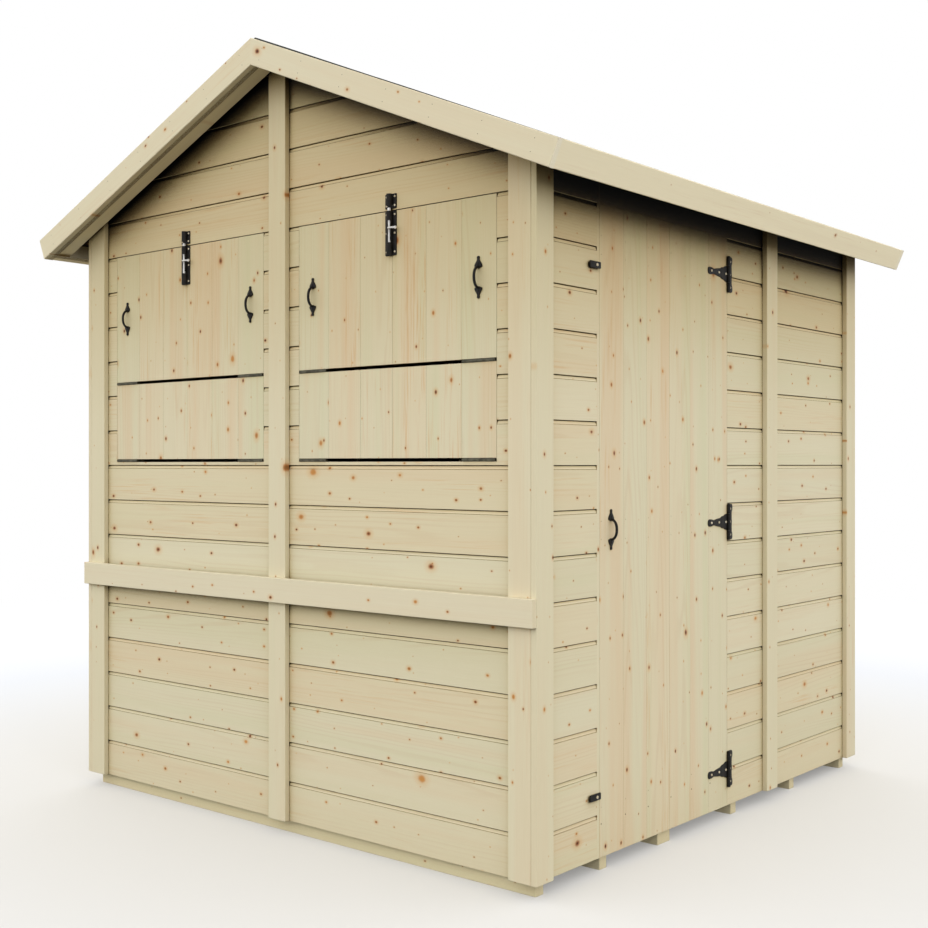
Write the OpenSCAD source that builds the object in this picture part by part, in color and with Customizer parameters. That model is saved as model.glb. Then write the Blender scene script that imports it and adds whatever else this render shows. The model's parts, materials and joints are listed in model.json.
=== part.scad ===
// Apex garden bar shed: timber shed with two fold-down bar hatches in its front gable and a side door.
// Front gable faces -Y, door wall faces +X, ground at z = 0, origin under the middle of the roof.

/* [Walls] */
// Width of the shed over its cladding
wall_w = 1806; // [1700:1:1900]
// Depth of the shed over its cladding
wall_d = 1814; // [1700:1:1900]
// Height of one row of cladding boards
row_h = 112; // [108:1:114]
// Thickness of the cladding and of the door and flap boards
board_t = 12; // [9:0.5:16]
// Side of the square framing timbers
stud = 34; // [28:1:38]
// Width of every trim, bargeboard and fascia board
trim_w = 70; // [60:1:75]
// Thickness of every trim, bargeboard and fascia board
trim_t = 17; // [12:1:18]

/* [Base] */
// Height of the cladding's lower edge above the ground
skirt_z = 38; // [30:1:44]
// Height of the floor bearers
bearer_h = 48; // [45:1:60]
// Width of the floor bearers
bearer_w = 32; // [28:1:40]

/* [Roof] */
// Slope of the roof in degrees
roof_pitch = 23; // [22:0.5:24]
// Height of the bargeboards' apex above the ground
ridge_z = 2236; // [2230:1:2260]
// How far the bargeboards stand in front of the cladding
overhang = 114; // [105:1:130]
// Half the width of the roof at its top corners
roof_reach = 1055; // [1050:1:1060]
// Thickness of the roof boards
deck_t = 11; // [9:1:12]
// Thickness of the roofing felt
felt_t = 3; // [2:0.5:4]
// Depth of the joists under the roof's front and back edges
joist_h = 50; // [40:1:52]

/* [Bar hatches] */
// Distance from the middle of the front to the near side of a hatch opening
hatch_inner = 70; // [66:1:74]
// Distance from the middle of the front to the far side of a hatch opening
hatch_outer = 790; // [770:1:792]
// Height of a lower flap, the one that becomes the counter
lower_flap_h = 238; // [220:1:240]
// Gap that holds the knuckle of a flap hinge
hinge_gap = 9.5; // [9:0.5:12]
// Play round the flaps
flap_play = 5; // [4:0.5:6]
// Height of the bar rail's lower edge
bar_rail_z = 657; // [640:1:665]

/* [Door] */
// Distance from the front cladding to the door's free edge
door_from_front = 275; // [268:1:290]
// Width of the door, which hangs flush with the cladding
door_w = 672; // [650:1:676]
// Gap round the door
door_play = 5; // [4:0.5:6]
// How far the door laps over the posts and the head rail that stop it
door_lap = 14; // [12:1:16]

/* [Hidden] */
$fn = 48;

ledge_w = 60;
ledge_t = 22;
hair = 0.5;                                  // joint between like boards in one node
ridge_lap = 200;                             // sloping boards start past the ridge, then are cut at it
side_x = wall_w / 2;
front_y = -wall_d / 2;
back_y = wall_d / 2;
inner_x = side_x - board_t;
inner_y = back_y - board_t;
floor_z = bearer_h + board_t;
roof_y = back_y + overhang;                  // outer face of the bargeboards
roof_inner_y = roof_y - trim_t;
roof_tan = tan(roof_pitch);
roof_cos = cos(roof_pitch);
roof_sin = sin(roof_pitch);
slope_len = roof_reach / roof_cos;           // from the ridge to the eave, along the slope
under_deck = deck_t / roof_cos;              // height from the roof plane to the roof boards' underside

header_z = skirt_z + 15 * row_h + 3;
sill_z = skirt_z + 9 * row_h + 9;
flap_x0 = hatch_inner + flap_play;
flap_x1 = hatch_outer - flap_play;
flap_mid_x = (flap_x0 + flap_x1) / 2;
sill_pin_z = sill_z + hinge_gap / 2;
lower_flap_z = sill_z + hinge_gap;
split_pin_z = lower_flap_z + lower_flap_h + hinge_gap / 2;
upper_flap_z = split_pin_z + hinge_gap / 2;
upper_flap_top = header_z - flap_play - 0.4;
flap_ledge_inset = 34;

door_y0 = front_y + door_from_front;
door_y1 = door_y0 + door_w;
door_top = skirt_z + 15 * row_h;
doorway_y0 = door_y0 + door_lap;
doorway_y1 = door_y1 - door_lap;
doorway_top = door_top - 25;
mid_trim_y = front_y + 1171;
left_bay = inner_y / 3;                      // from the middle to each of the left wall's two posts
back_bay = 282;                              // half the room between the back wall's two middle posts

// front face of each bearer behind the front cladding, with how many bearer widths it is wide
bearers = [[18, 1], [293, 1], [577, 2], [991, 1], [1381, 1], [1761, 1]];

plate_t = 3;
tee_z = [for (up = [108, 840, 1573]) skirt_z + up];
tee_h = 105;
tee_eye_h = 50;                              // middle knuckle, on the strap
tee_pin_r = 5;
tee_pin_x = side_x + tee_pin_r + 0.3;
tee_pin_y = door_y1 + 1.3;
tee_plate_y = tee_pin_y + tee_pin_r + 0.6;   // where the wall plate is clear of the strap's knuckle
tee_plate_w = 27;
tee_strap_len = 116;
door_ledge_h = 90;

button_z = [for (up = [162, 1519]) skirt_z + up];
button_y = door_y0 - 22.5;
button_x = side_x + 5;                       // back of a turn button, clear of the door's face
button_long = 30;
button_short = 17.5;
button_w = 17;
button_t = 3.5;
button_post_r = 6;
button_pin_r = 3;

handle_z = skirt_z + 1476;
door_handle_z = skirt_z + 841;
door_handle_in = 52;                         // from the door's free edge
handle_h = 106;
handle_reach = 23;
handle_w = 10;
handle_bar = 8;
handle_foot = 24;                            // length of each spear-ended foot
handle_foot_t = 4;

bolt_plate_w = 40;
bolt_plate_h = 117;
bolt_plate_t = 2.5;
bolt_case_w = 17;
bolt_case_t = 13;
bolt_bar_r = 4.5;
bolt_bore_r = 5.3;
bolt_y = front_y - bolt_plate_t - 6;
bolt_plate_z = upper_flap_top - bolt_plate_h;
keeper_z = header_z + 8;
keeper_h = 32;
bolt_tip_z = keeper_z - 5;
bolt_bar_len = 98;
bolt_knob_z = bolt_tip_z - 55;
bolt_slot_up = 20;                           // room in the slot above the knob at rest
bolt_slot_down = 34;
knob_r = 2.6;
knob_out = 11.5;                             // from the bar's axis to its arm, which passes in front of the case
knob_arm = 30;

hinge_len = 107;
hinge_r = 4;
hinge_leaf_t = 2;
hinge_leaf_w = 11;

oak = "#D6CDAF";
board_c = "#CFC5A4";
trim_c = "#D8CFB2";
inside_c = "#C3B48E";
iron = "#23211F";
zinc = "#C9C7C2";
felt_c = "#2B2C2B";
deck_c = "#3A342B";

// ---- helpers ----

// Box between two corners
module box(low, high) {
    translate(low) cube(high - low);
}

// Prism that fills the space under the roof boards, or under any plane parallel to the roof
module under_roof(drop = under_deck) {
    apex = ridge_z - drop;
    reach = roof_reach + trim_t;
    eave = apex - reach * roof_tan;
    rotate([90, 0, 0])
        translate([0, 0, -roof_y])
            linear_extrude(2 * roof_y)
                polygon([[-reach, 0], [reach, 0], [reach, eave], [0, apex], [-reach, eave]]);
}

// Board or sheet lying in one roof slope: s runs down the slope, d is the depth under the roof plane
module on_slope(side, s0, s1, d0, d1, y0, y1) {
    mirror([side < 0 ? 1 : 0, 0, 0])
        translate([0, 0, ridge_z])
            rotate([0, roof_pitch, 0])
                box([s0, y0, -d1], [s1, y1, -d0]);
}

// Half of the space, right of the shed's middle plane or left of it
module half_space(side) {
    far = 2 * roof_reach;
    mirror([side < 0 ? 1 : 0, 0, 0]) box([hair / 2, -far, 0], [far, far, 2 * far]);
}

// Copies a fitting from the right half of the front to the left half
module on_side(side) {
    mirror([side < 0 ? 1 : 0, 0, 0]) children();
}

// ---- base ----

module floor_bearers() {
    color(inside_c)
        for (b = bearers)
            box([-inner_x, front_y + b[0], 0], [inner_x, front_y + b[0] + b[1] * bearer_w, bearer_h]);
}

module floor_boards() {
    color(inside_c) box([-inner_x, -inner_y, bearer_h], [inner_x, inner_y, floor_z]);
}

// ---- walls ----

module front_wall_lower() {
    color(board_c) box([-side_x, front_y, skirt_z], [side_x, front_y + board_t, sill_z]);
}

module front_wall_gable() {
    color(board_c)
        intersection() {
            box([-side_x, front_y, header_z], [side_x, front_y + board_t, ridge_z]);
            under_roof();
        }
}

module front_wall_strips() {
    color(board_c) {
        box([-hatch_inner, front_y, sill_z], [hatch_inner, front_y + board_t, header_z]);
        for (side = [-1, 1])
            on_side(side) box([hatch_outer, front_y, sill_z], [side_x, front_y + board_t, header_z]);
    }
}

module left_wall() {
    color(board_c)
        intersection() {
            box([-side_x, -inner_y, skirt_z], [-inner_x, inner_y, ridge_z]);
            under_roof();
        }
}

module back_wall() {
    color(board_c)
        intersection() {
            box([-side_x, inner_y, skirt_z], [side_x, back_y, ridge_z]);
            under_roof();
        }
}

// Stretch of the door wall between two heights and two places along Y
module right_wall_part(y0, y1, z0) {
    color(board_c)
        intersection() {
            box([inner_x, y0, z0], [side_x, y1, ridge_z]);
            under_roof();
        }
}

module right_wall_front() { right_wall_part(-inner_y, door_y0 - door_play, skirt_z); }

module right_wall_back() { right_wall_part(door_y1 + door_play, inner_y, skirt_z); }

module right_wall_header() {
    right_wall_part(door_y0 - door_play, door_y1 + door_play, door_top + door_play);
}

// ---- framing ----

module post(x, y) {
    box([x, y, floor_z], [x + stud, y + stud, ridge_z]);
}

module wall_posts() {
    corner_x = inner_x - stud;
    corner_y = inner_y - stud;
    color(inside_c)
        intersection() {
            union() {
                for (side = [-1, 1])
                    on_side(side) {
                        post(corner_x, -inner_y);
                        post(corner_x, corner_y);
                        post(hatch_outer, -inner_y);
                        post(hatch_inner - stud, -inner_y);
                        post(back_bay, corner_y);
                    }
                post(corner_x, doorway_y0 - stud);
                post(corner_x, doorway_y1);
                post(corner_x, mid_trim_y + (trim_w - stud) / 2);
                for (side = [-1, 1]) post(-inner_x, side * left_bay - stud / 2);
            }
            under_roof(under_deck + (stud + hair) / roof_cos);
        }
}

// Rail along X against the front or back cladding
module cross_rail(x0, x1, y, z) {
    box([x0, y, z], [x1, y + stud, z + stud]);
}

// Rail along Y against a side's cladding
module long_rail(x, y0, y1, z) {
    box([x, y0, z], [x + stud, y1, z + stud]);
}

module wall_rails() {
    corner_x = inner_x - stud;
    corner_y = inner_y - stud;
    color(inside_c) {
        for (side = [-1, 1]) {
            on_side(side) {
                for (z = [floor_z, sill_z - stud, header_z])
                    cross_rail(hatch_inner, hatch_outer, -inner_y, z);
                cross_rail(back_bay + stud, corner_x, corner_y, floor_z);
            }
            // sloping top rail of each gable
            for (y = [-inner_y, corner_y])
                intersection() {
                    on_slope(side, 0, slope_len, deck_t, deck_t + stud, y, y + stud);
                    on_side(side) box([stud / 2 + hair, -roof_y, 0], [inner_x, roof_y, ridge_z]);
                }
        }
        cross_rail(-back_bay, back_bay, corner_y, floor_z);
        for (side = [-1, 1])
            intersection() {
                on_slope(side, 0, slope_len, deck_t, deck_t + stud, -corner_y + hair, corner_y - hair);
                on_side(side) box([corner_x, -roof_y, 0], [inner_x, roof_y, ridge_z]);
            }
        for (ends = [[-corner_y, -left_bay - stud / 2], [-left_bay + stud / 2, left_bay - stud / 2],
            [left_bay + stud / 2, corner_y]])
            long_rail(-inner_x, ends[0], ends[1], floor_z);
        long_rail(corner_x, -corner_y, doorway_y0 - stud, floor_z);
        long_rail(corner_x, doorway_y1 + stud, mid_trim_y + (trim_w - stud) / 2, floor_z);
        long_rail(corner_x, mid_trim_y + (trim_w + stud) / 2, corner_y, floor_z);
        long_rail(corner_x, doorway_y0, doorway_y1, doorway_top);
    }
}

// ---- trims ----

// Corner and middle trims of a gable, cut to the roof
module gable_trims(y0, y1) {
    color(trim_c)
        intersection() {
            union() {
                for (side = [-1, 1]) on_side(side) box([side_x - trim_w, y0, skirt_z], [side_x, y1, ridge_z]);
                box([-trim_w / 2, y0, skirt_z], [trim_w / 2, y1, ridge_z]);
            }
            under_roof();
        }
}

module front_trims() { gable_trims(front_y - trim_t, front_y); }

module back_trims() { gable_trims(back_y, back_y + trim_t); }

// Corner and middle trims of a side wall, cut to the roof
module side_trims(x0, x1) {
    color(trim_c)
        intersection() {
            for (y = [front_y - trim_t, mid_trim_y, back_y + trim_t - trim_w])
                box([x0, y, skirt_z], [x1, y + trim_w, ridge_z]);
            under_roof();
        }
}

module right_trims() { side_trims(side_x, side_x + trim_t); }

module left_trims() { side_trims(-side_x - trim_t, -side_x); }

module bar_rail() {
    color(trim_c)
        box([-side_x - trim_t, front_y - 2 * trim_t, bar_rail_z],
            [side_x + trim_t, front_y - trim_t, bar_rail_z + trim_w]);
}

// ---- roof ----

module roof_sheets(d0, d1, c) {
    color(c)
        for (side = [-1, 1])
            intersection() {
                on_slope(side, -ridge_lap, slope_len - trim_t, d0, d1, -roof_inner_y, roof_inner_y);
                half_space(side);
            }
}

module roof_boards() { roof_sheets(0, deck_t, deck_c); }

module roof_felt() { roof_sheets(-felt_t, 0, felt_c); }

module rake_joists() {
    color(inside_c)
        for (side = [-1, 1])
            for (y = [-roof_inner_y, roof_inner_y - trim_w])
                intersection() {
                    on_slope(side, -ridge_lap, slope_len - trim_t, deck_t, deck_t + joist_h, y, y + trim_w);
                    half_space(side);
                }
}

module ridge_beam() {
    color(inside_c)
        intersection() {
            box([-stud / 2, -inner_y, ridge_z - under_deck - 2 * stud], [stud / 2, inner_y, ridge_z]);
            under_roof();
        }
}

module bargeboards() {
    color(trim_c)
        for (side = [-1, 1])
            for (y = [-roof_y, roof_inner_y])
                intersection() {
                    on_slope(side, -ridge_lap, slope_len, 0, trim_w, y, y + trim_t);
                    half_space(side);
                }
}

module eave_fascias() {
    color(trim_c)
        for (side = [-1, 1])
            on_slope(side, slope_len - trim_t, slope_len, 0, trim_w, -roof_inner_y, roof_inner_y);
}

// ---- door ----

module door() {
    ledge_y0 = doorway_y0 + 8;
    ledge_y1 = doorway_y1 - 8;
    color(oak) {
        box([inner_x, door_y0, skirt_z], [side_x, door_y1, door_top]);
        for (z = tee_z)
            box([inner_x - ledge_t, ledge_y0, z - door_ledge_h / 2],
                [inner_x, ledge_y1, z + door_ledge_h / 2]);
    }
}

module door_hinge_plates() {
    end_h = (tee_h - tee_eye_h) / 2;
    color(iron)
        for (z = tee_z)
            translate([0, 0, z]) {
                box([side_x, tee_plate_y, -tee_h / 2],
                    [side_x + plate_t, tee_plate_y + tee_plate_w, tee_h / 2]);
                for (low = [-tee_h / 2, tee_eye_h / 2]) {
                    translate([tee_pin_x, tee_pin_y, low]) cylinder(h = end_h, r = tee_pin_r);
                    box([side_x + 0.3, tee_pin_y, low],
                        [side_x + plate_t, tee_plate_y, low + end_h]);
                }
            }
}

// Half of a strap's outline, from its round tip to its flared root: place along the strap, half width
function strap_side(side) = [for (p = [[0, 6], [4, 10], [26, 10], [36, 8.5], [74, 13], [90, 18], [102, 22],
    [112, 23.5]]) [p[0], side * p[1]]];

function backwards(list) = [for (i = [len(list) - 1 : -1 : 0]) list[i]];

module door_hinge_straps() {
    eye_h = tee_eye_h - 1;
    color(iron)
        for (z = tee_z)
            translate([0, 0, z]) {
                translate([side_x, tee_pin_y - tee_strap_len, 0])
                    rotate([90, 0, 90])
                        linear_extrude(plate_t)
                            polygon(concat(strap_side(1), backwards(strap_side(-1))));
                translate([tee_pin_x, tee_pin_y, -eye_h / 2]) cylinder(h = eye_h, r = tee_pin_r);
            }
}

// ---- handles: a bow between two spear-ended feet, out along +X from a face at x = 0 ----

module bow_handle() {
    foot_z = handle_h / 2 - handle_foot;     // where the spear starts and the bow springs
    root_z = foot_z + handle_bar / 2;
    neck = handle_w / 2;
    shoulder_w = 8.5;
    shoulder_z = foot_z + 6;
    tip_w = 2;
    bend = 9;                                // height of the bow's slanting ends
    round_z = 2 * bend;                      // height of its bends, to where it runs upright
    round_x = 6;                             // how far back the bends start
    hole_x = handle_reach - handle_bar;
    for (end = [0, 1])
        mirror([0, 0, end])
            rotate([90, 0, 90])
                linear_extrude(handle_foot_t)
                    polygon([[-neck, foot_z], [neck, foot_z], [shoulder_w, shoulder_z],
                        [tip_w, handle_h / 2], [-tip_w, handle_h / 2], [-shoulder_w, shoulder_z]]);
    rotate([90, 0, 0])
        translate([0, 0, -handle_bar / 2])
            linear_extrude(handle_bar)
                difference() {
                    polygon([[0, -root_z], [handle_reach - round_x, bend - root_z],
                        [handle_reach, round_z - root_z], [handle_reach, root_z - round_z],
                        [handle_reach - round_x, root_z - bend], [0, root_z]]);
                    polygon([[-1, bend - root_z], [hole_x - round_x, 2 * bend - root_z],
                        [hole_x, 2 * bend + round_x - root_z], [hole_x, root_z - 2 * bend - round_x],
                        [hole_x - round_x, root_z - 2 * bend], [-1, root_z - bend]]);
                }
}

module door_handle() {
    color(iron) translate([side_x, door_y0 + door_handle_in, door_handle_z]) bow_handle();
}

module flap_handles(side) {
    color(iron)
        on_side(side)
            for (x = [flap_x0 + 57, flap_x1 - 57])
                translate([x, front_y, handle_z]) rotate([0, 0, -90]) bow_handle();
}

// ---- bar hatches ----

// One flap of vertical boards with two ledges behind it
module flap(side, z0, z1) {
    ledge_z1 = z1 - flap_ledge_inset - ledge_w;
    color(oak)
        on_side(side) {
            box([flap_x0, front_y, z0], [flap_x1, front_y + board_t, z1]);
            for (z = [z0 + flap_ledge_inset / 2, ledge_z1])
                box([flap_x0 + stud, front_y + board_t, z],
                    [flap_x1 - stud, front_y + board_t + ledge_t, z + ledge_w]);
        }
}

module lower_flap(side) { flap(side, lower_flap_z, lower_flap_z + lower_flap_h); }

module upper_flap(side) { flap(side, upper_flap_z, upper_flap_top); }

// Butt hinges of one row: knuckle on the pin line, leaf on the timber edge below it
module butt_hinges(side, pin_z) {
    color(zinc)
        on_side(side)
            for (x = [flap_x0 + 3, flap_x1 - 3 - hinge_len]) {
                translate([x, front_y, pin_z]) rotate([0, 90, 0]) cylinder(h = hinge_len, r = hinge_r);
                box([x, front_y, pin_z - hinge_gap / 2], [x + hinge_len, front_y + hinge_leaf_w,
                    pin_z - hinge_gap / 2 + hinge_leaf_t]);
            }
}

module sill_hinges() {
    for (side = [-1, 1]) butt_hinges(side, sill_pin_z);
}

// Bolt case: plate and raised case, bored for the bar and slotted for its knob
module bolt_case(side) {
    color(iron)
        on_side(side)
            translate([flap_mid_x, 0, 0])
                difference() {
                    union() {
                        box([-bolt_plate_w / 2, front_y - bolt_plate_t, bolt_plate_z],
                            [bolt_plate_w / 2, front_y, bolt_plate_z + bolt_plate_h]);
                        box([-bolt_case_w / 2, front_y - bolt_case_t - bolt_plate_t, bolt_plate_z],
                            [bolt_case_w / 2, front_y, bolt_plate_z + bolt_plate_h]);
                    }
                    translate([0, bolt_y, bolt_plate_z - 1])
                        cylinder(h = bolt_plate_h + 2, r = bolt_bore_r);
                    box([-knob_r - 1, front_y - 2 * bolt_case_t, bolt_knob_z - bolt_slot_down - knob_r],
                        [knob_r + 1, bolt_y, bolt_knob_z + bolt_slot_up + knob_r]);
                }
}

// Round bar with a bent arm to slide it by, which points to the right on both hatches
module bolt_bar(side) {
    color(zinc)
        translate([side * flap_mid_x, bolt_y, 0]) {
            translate([0, 0, bolt_tip_z - bolt_bar_len]) cylinder(h = bolt_bar_len, r = bolt_bar_r);
            translate([0, 0, bolt_knob_z]) {
                rotate([90, 0, 0]) cylinder(h = knob_out + knob_r, r = knob_r);
                translate([0, -knob_out, 0]) rotate([0, 90, 0]) cylinder(h = knob_arm, r = knob_r);
            }
        }
}

module bolt_keepers() {
    color(iron)
        for (side = [-1, 1])
            on_side(side)
                translate([flap_mid_x, 0, 0])
                    difference() {
                        union() {
                            box([-bolt_plate_w / 2, front_y - bolt_plate_t, keeper_z],
                                [bolt_plate_w / 2, front_y, keeper_z + keeper_h]);
                            box([-bolt_case_w / 2, front_y - bolt_case_t - bolt_plate_t, keeper_z],
                                [bolt_case_w / 2, front_y, keeper_z + keeper_h]);
                        }
                        translate([0, bolt_y, keeper_z - 1]) cylinder(h = keeper_h + 2, r = bolt_bore_r);
                    }
}

// ---- turn buttons ----

// Spacer, pin and head that each turn button turns on
module turn_button_posts() {
    color(iron)
        for (z = button_z)
            translate([side_x, button_y, z])
                rotate([0, 90, 0]) {
                    cylinder(h = button_x - side_x - 0.3, r = button_post_r);
                    cylinder(h = button_x - side_x + button_t + 1.5, r = button_pin_r);
                    translate([0, 0, button_x - side_x + button_t + 0.3]) cylinder(h = 1.2, r = 5);
                }
}

module turn_button(z) {
    cut = 3;                                 // corners cut off
    half_w = button_w / 2;
    color(iron)
        translate([button_x, button_y, z])
            rotate([90, 0, 90])
                linear_extrude(button_t)
                    difference() {
                        polygon([[-button_long, cut - half_w], [cut - button_long, -half_w],
                            [button_short - cut, -half_w], [button_short, cut - half_w],
                            [button_short, half_w - cut], [button_short - cut, half_w],
                            [cut - button_long, half_w], [-button_long, half_w - cut]]);
                        circle(button_pin_r + 0.3);
                    }
}

floor_bearers();
floor_boards();
front_wall_lower();
front_wall_gable();
front_wall_strips();
left_wall();
back_wall();
right_wall_front();
right_wall_back();
right_wall_header();
wall_posts();
wall_rails();
front_trims();
back_trims();
right_trims();
left_trims();
bar_rail();
roof_boards();
roof_felt();
rake_joists();
ridge_beam();
bargeboards();
eave_fascias();
door_hinge_plates();
turn_button_posts();
bolt_keepers();
sill_hinges();
door();
door_hinge_straps();
door_handle();
lower_flap(-1);  // left_lower_flap
butt_hinges(-1, split_pin_z);  // left_flap_hinges
upper_flap(-1);  // left_upper_flap
flap_handles(-1);  // left_flap_handles
bolt_case(-1);  // left_bolt_case
bolt_bar(-1);  // left_bolt_bar
lower_flap(1);  // right_lower_flap
butt_hinges(1, split_pin_z);  // right_flap_hinges
upper_flap(1);  // right_upper_flap
flap_handles(1);  // right_flap_handles
bolt_case(1);  // right_bolt_case
bolt_bar(1);  // right_bolt_bar
turn_button(button_z[1]);  // upper_turn_button
turn_button(button_z[0]);  // lower_turn_button
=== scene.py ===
"""Looks of the apex garden bar shed: boards, fittings, materials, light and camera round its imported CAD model."""

import json
import math
import random

import bmesh
import bpy
from mathutils import Matrix, Vector

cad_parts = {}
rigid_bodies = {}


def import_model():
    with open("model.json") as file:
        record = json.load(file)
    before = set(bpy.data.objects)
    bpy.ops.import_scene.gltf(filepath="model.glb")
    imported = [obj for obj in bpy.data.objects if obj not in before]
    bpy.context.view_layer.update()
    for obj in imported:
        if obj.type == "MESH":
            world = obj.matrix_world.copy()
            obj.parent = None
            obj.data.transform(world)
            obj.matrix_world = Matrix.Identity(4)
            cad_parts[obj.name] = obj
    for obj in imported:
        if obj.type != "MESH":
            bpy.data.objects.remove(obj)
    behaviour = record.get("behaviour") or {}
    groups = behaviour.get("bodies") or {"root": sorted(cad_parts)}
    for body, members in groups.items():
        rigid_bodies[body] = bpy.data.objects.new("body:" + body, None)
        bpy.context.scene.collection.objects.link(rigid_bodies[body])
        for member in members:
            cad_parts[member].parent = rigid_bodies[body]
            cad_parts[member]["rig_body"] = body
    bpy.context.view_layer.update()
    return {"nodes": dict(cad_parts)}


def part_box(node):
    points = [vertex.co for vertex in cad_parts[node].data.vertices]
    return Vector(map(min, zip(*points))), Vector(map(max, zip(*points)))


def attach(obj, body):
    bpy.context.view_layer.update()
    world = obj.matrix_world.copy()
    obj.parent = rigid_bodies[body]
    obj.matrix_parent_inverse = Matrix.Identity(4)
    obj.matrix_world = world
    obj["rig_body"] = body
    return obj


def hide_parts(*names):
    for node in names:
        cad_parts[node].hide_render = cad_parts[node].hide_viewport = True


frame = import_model()

rng = random.Random(41)
X, Y, Z = Vector((1, 0, 0)), Vector((0, 1, 0)), Vector((0, 0, 1))
MM = 0.001

# ---- places, from the CAD nodes ----

ROW = 0.112  # height of one cladding row
BOARD = 0.012
BOARD_H = 118 * MM  # height of a cladding board with the tongue behind the next one
MOST_ROWS = 25
HATCH_ROWS = 15  # rows up to the top of the hatches
ROOF_BOARD = 0.011
PITCH = math.radians(23)
SLOPE = math.tan(PITCH)
front_low, front_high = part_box("front_wall_lower")
side_x, front_y, skirt_z, sill_z = front_high.x, front_low.y, front_low.z, front_high.z
inner_x = side_x - BOARD
back_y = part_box("back_wall")[1].y
inner_y = back_y - BOARD
door_low, door_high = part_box("door")
gap_y0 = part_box("right_wall_front")[1].y  # edges of the gap in the cladding that the door hangs in
gap_y1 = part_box("right_wall_back")[0].y
gap_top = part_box("right_wall_header")[0].z
ridge_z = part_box("bargeboards")[1].z
roof_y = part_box("bargeboards")[1].y
roof_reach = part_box("eave_fascias")[1].x
hatch_outer, hatch_inner = 0.790, 0.070  # sides of the hatches, from the middle of the front
under_deck = ridge_z - ROOF_BOARD / math.cos(PITCH)  # the roof boards' underside over the middle of the shed
tee_z = [skirt_z + up for up in (0.108, 0.840, 1.573)]  # heights of the door's hinges
button_z = [skirt_z + up for up in (0.162, 1.519)]  # heights of the turn buttons
TRIM_W, TRIM_T = 0.070, 0.017


# ---- materials ----


class Look:
    """A material and short ways to add its nodes."""

    def __init__(self, name, **surface):
        self.material = bpy.data.materials.new(name)
        self.material.use_nodes = True
        self.tree = self.material.node_tree
        self.surface = self.tree.nodes["Principled BSDF"]
        for key, value in surface.items():
            self.put(self.surface.inputs[key.replace("_", " ")], value)

    def put(self, socket, value):
        if isinstance(value, bpy.types.NodeSocket):
            self.tree.links.new(value, socket)
        else:
            socket.default_value = value

    def add(self, kind, inputs, out=0, **props):
        made = self.tree.nodes.new("ShaderNode" + kind)
        for key, value in props.items():
            setattr(made, key, value)
        for key, value in inputs.items():
            self.put(made.inputs[key], value)
        return made.outputs[out]

    def attribute(self, name, out="Vector"):
        return self.add("Attribute", {}, out, attribute_name=name)

    def math(self, operation, a, b=0.0, c=0.0):
        return self.add("Math", {0: a, 1: b, 2: c}, operation=operation)

    def scaled(self, vector, factors):
        return self.add("VectorMath", {0: vector, 1: factors}, operation="MULTIPLY")

    def noise(self, vector, detail=2.0, rough=0.5, scale=1.0):
        return self.add("TexNoise", {"Vector": vector, "Scale": scale, "Detail": detail, "Roughness": rough})

    def span(self, value, low, high, to_low=0.0, to_high=1.0):
        """Smooth step of value from low..high to to_low..to_high."""
        return self.add("MapRange", {"Value": value, "From Min": low, "From Max": high, "To Min": to_low,
                                     "To Max": to_high}, interpolation_type="SMOOTHSTEP")

    def mix(self, share, a, b, blend="MIX"):
        return self.add("Mix", {0: share, 6: a, 7: b}, 2, data_type="RGBA", blend_type=blend)

    def ramp(self, value, colours):
        made = self.tree.nodes.new("ShaderNodeValToRGB")
        stops = made.color_ramp.elements
        while len(stops) < len(colours):
            stops.new(0.5)
        for i, colour in enumerate(colours):
            stops[i].position = i / (len(colours) - 1)
            stops[i].color = rgb(colour)
        self.put(made.inputs[0], value)
        return made.outputs[0]

    def bump(self, height, distance, strength):
        return self.add("Bump", {"Height": height, "Distance": distance, "Strength": strength})

    def paint(self, colour, roughness=None, normal=None):
        for key, value in (("Base Color", colour), ("Roughness", roughness), ("Normal", normal)):
            if value is not None:
                self.put(self.surface.inputs[key], value)
        return self.material


def rgb(code):
    """Linear colour of an sRGB hex code."""
    parts = [int(code[i:i + 2], 16) / 255 for i in (1, 3, 5)]
    return tuple(p / 12.92 if p <= 0.04045 else ((p + 0.055) / 1.055) ** 2.4 for p in parts) + (1.0,)


# grids of knots: cell across the grain in m, share of cells, least and most radius in cells, reach of dark cores
KNOTS = ((0.068, 1.0, 0.020, 0.076, 1.3), (0.21, 0.6, 0.024, 0.052, 1.0))


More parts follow.
